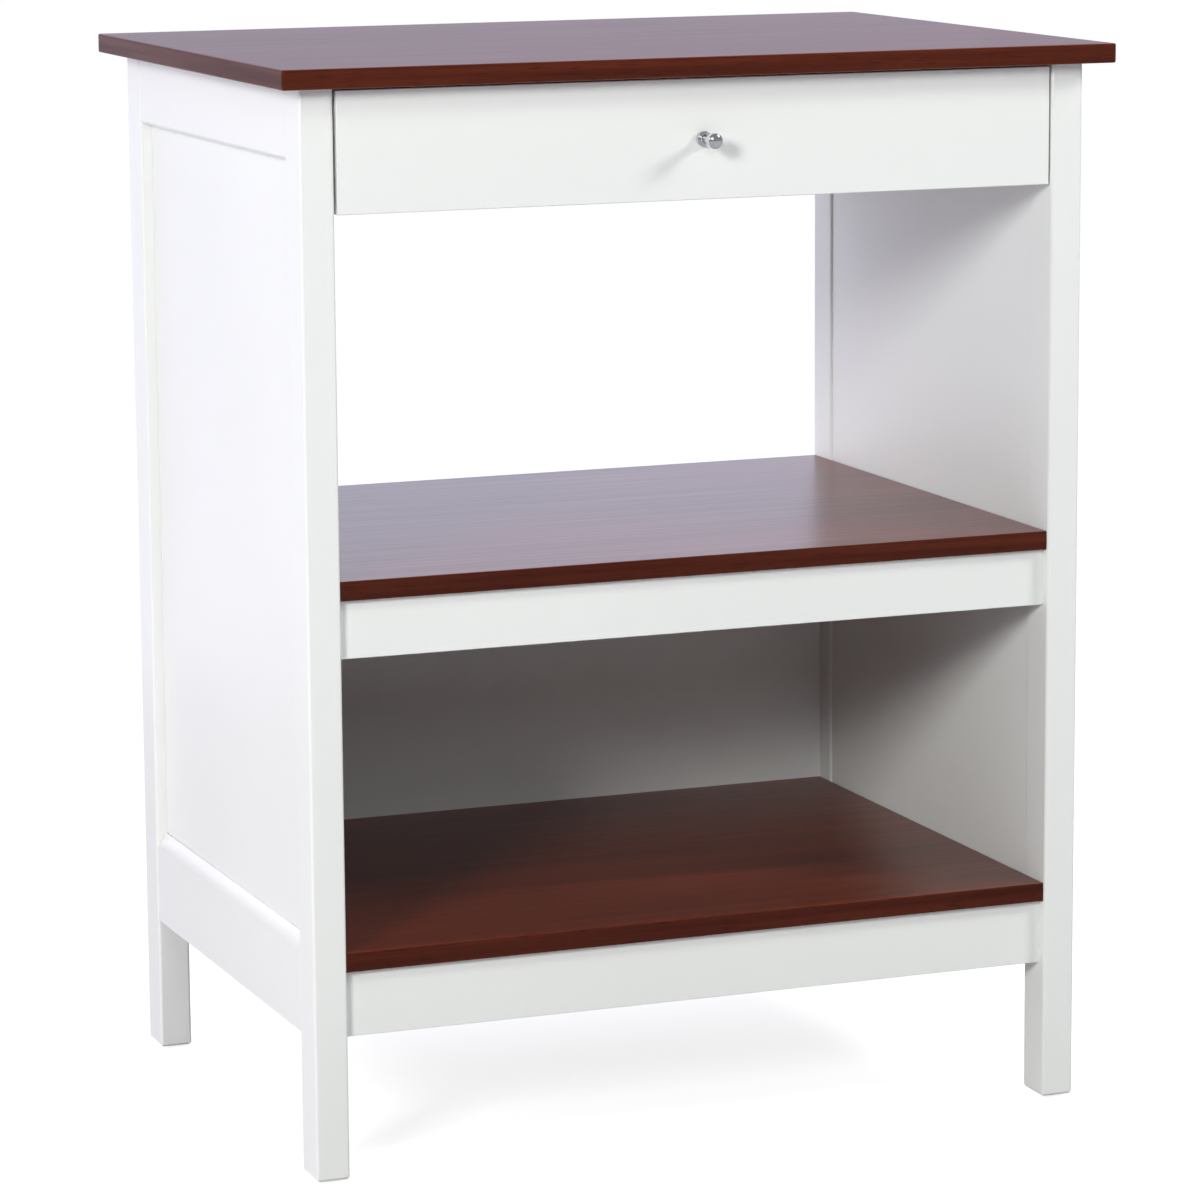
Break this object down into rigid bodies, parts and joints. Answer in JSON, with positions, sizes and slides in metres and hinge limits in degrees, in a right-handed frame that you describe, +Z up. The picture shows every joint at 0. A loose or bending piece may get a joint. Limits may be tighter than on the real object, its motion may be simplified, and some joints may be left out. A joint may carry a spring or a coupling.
{
  "type": "kitchen cabinet",
  "caption": "Open kitchen cabinet with a dark wood-grain worktop and shelves on white posts and side panels, a full-width drawer on roller runners, and a back panel to the lower bay.",
  "frame": {"origin": "floor level, at the middle of the overall width and depth, the knob included", "axes": "+X to the right seen from the front, +Y to the back, +Z up; the drawer opens along -Y"},
  "size_m": [0.72, 0.532, 0.9],
  "materials": {
    "mahogany_laminate": "satin wood-grain laminate, dark red-brown",
    "white_paint": "satin white paint on board and solid wood",
    "white_laminate": "smooth white laminate on board",
    "pine": "planed, unpainted",
    "beech": "fluted dowel, unpainted",
    "coated_steel": "white epoxy coating",
    "zinc_steel": "bright zinc plating",
    "polished_chrome": "polished chrome plating",
    "nylon": "moulded, satin",
    "white_plastic": "moulded, satin"
  },
  "bodies": {
    "carcass": {"back_panel": "white_paint", "back_panel_screws": "zinc_steel", "bearer_screws": "zinc_steel", "bracket_screws": "zinc_steel", "cabinet_runner_screws": "zinc_steel", "cam_bolts": "zinc_steel", "cam_nuts": "zinc_steel", "cleat_screws": "zinc_steel", "cross_dowels": "beech", "foot_glides": "white_plastic", "front_left_post": "white_paint", "front_right_post": "white_paint", "front_roller_rivets": "zinc_steel", "left_bottom_rail": "white_paint", "left_cabinet_runner": "coated_steel", "left_lower_cleat": "white_paint", "left_middle_cleat": "white_paint", "left_runner_bearer": "pine", "left_side_panel": "white_paint", "left_top_rail": "white_paint", "lower_apron": "white_paint", "lower_shelf": "mahogany_laminate", "middle_apron": "white_paint", "middle_shelf": "mahogany_laminate", "rear_left_post": "white_paint", "rear_right_post": "white_paint", "rear_top_rail": "white_paint", "right_bottom_rail": "white_paint", "right_cabinet_runner": "coated_steel", "right_lower_cleat": "white_paint", "right_middle_cleat": "white_paint", "right_runner_bearer": "pine", "right_side_panel": "white_paint", "right_top_rail": "white_paint", "side_dowels": "beech", "worktop": "mahogany_laminate", "worktop_brackets": "zinc_steel"},
    "drawer": {"drawer_back": "white_laminate", "drawer_back_screws": "zinc_steel", "drawer_bottom": "white_laminate", "drawer_cam_bolts": "zinc_steel", "drawer_cam_nuts": "zinc_steel", "drawer_dowels": "beech", "drawer_front": "white_paint", "drawer_runner_screws": "zinc_steel", "knob": "polished_chrome", "knob_screw": "zinc_steel", "left_drawer_runner": "coated_steel", "left_drawer_side": "white_laminate", "rear_roller_rivets": "zinc_steel", "right_drawer_runner": "coated_steel", "right_drawer_side": "white_laminate"},
    "front_left_roller": {"front_left_roller": "nylon"},
    "front_right_roller": {"front_right_roller": "nylon"},
    "rear_left_roller": {"rear_left_roller": "nylon"},
    "rear_right_roller": {"rear_right_roller": "nylon"}
  },
  "joints": [
    {"name": "drawer_slide", "type": "slide", "parent": "carcass", "child": "drawer", "axis": [0, -1, 0], "range_m": [0, 0.3]},
    {"name": "front_left_roller_spin", "type": "hinge", "parent": "carcass", "child": "front_left_roller", "pos_m": [-0.29375, -0.208, 0.8096], "axis": [1, 0, 0], "range_deg": [-5, 1725]},
    {"name": "front_right_roller_spin", "type": "hinge", "parent": "carcass", "child": "front_right_roller", "pos_m": [0.29375, -0.208, 0.8096], "axis": [1, 0, 0], "range_deg": [-5, 1725]},
    {"name": "rear_left_roller_spin", "type": "hinge", "parent": "drawer", "child": "rear_left_roller", "pos_m": [-0.29375, 0.166, 0.8092], "axis": [1, 0, 0], "range_deg": [-5, 1725]},
    {"name": "rear_right_roller_spin", "type": "hinge", "parent": "drawer", "child": "rear_right_roller", "pos_m": [0.29375, 0.166, 0.8092], "axis": [1, 0, 0], "range_deg": [-5, 1725]}
  ],
  "couplings": [
    {"joint": "front_left_roller_spin", "follows": "drawer_slide", "rad_per_m": 100},
    {"joint": "front_right_roller_spin", "follows": "drawer_slide", "rad_per_m": 100},
    {"joint": "rear_left_roller_spin", "follows": "drawer_slide", "rad_per_m": 100},
    {"joint": "rear_right_roller_spin", "follows": "drawer_slide", "rad_per_m": 100}
  ]
}
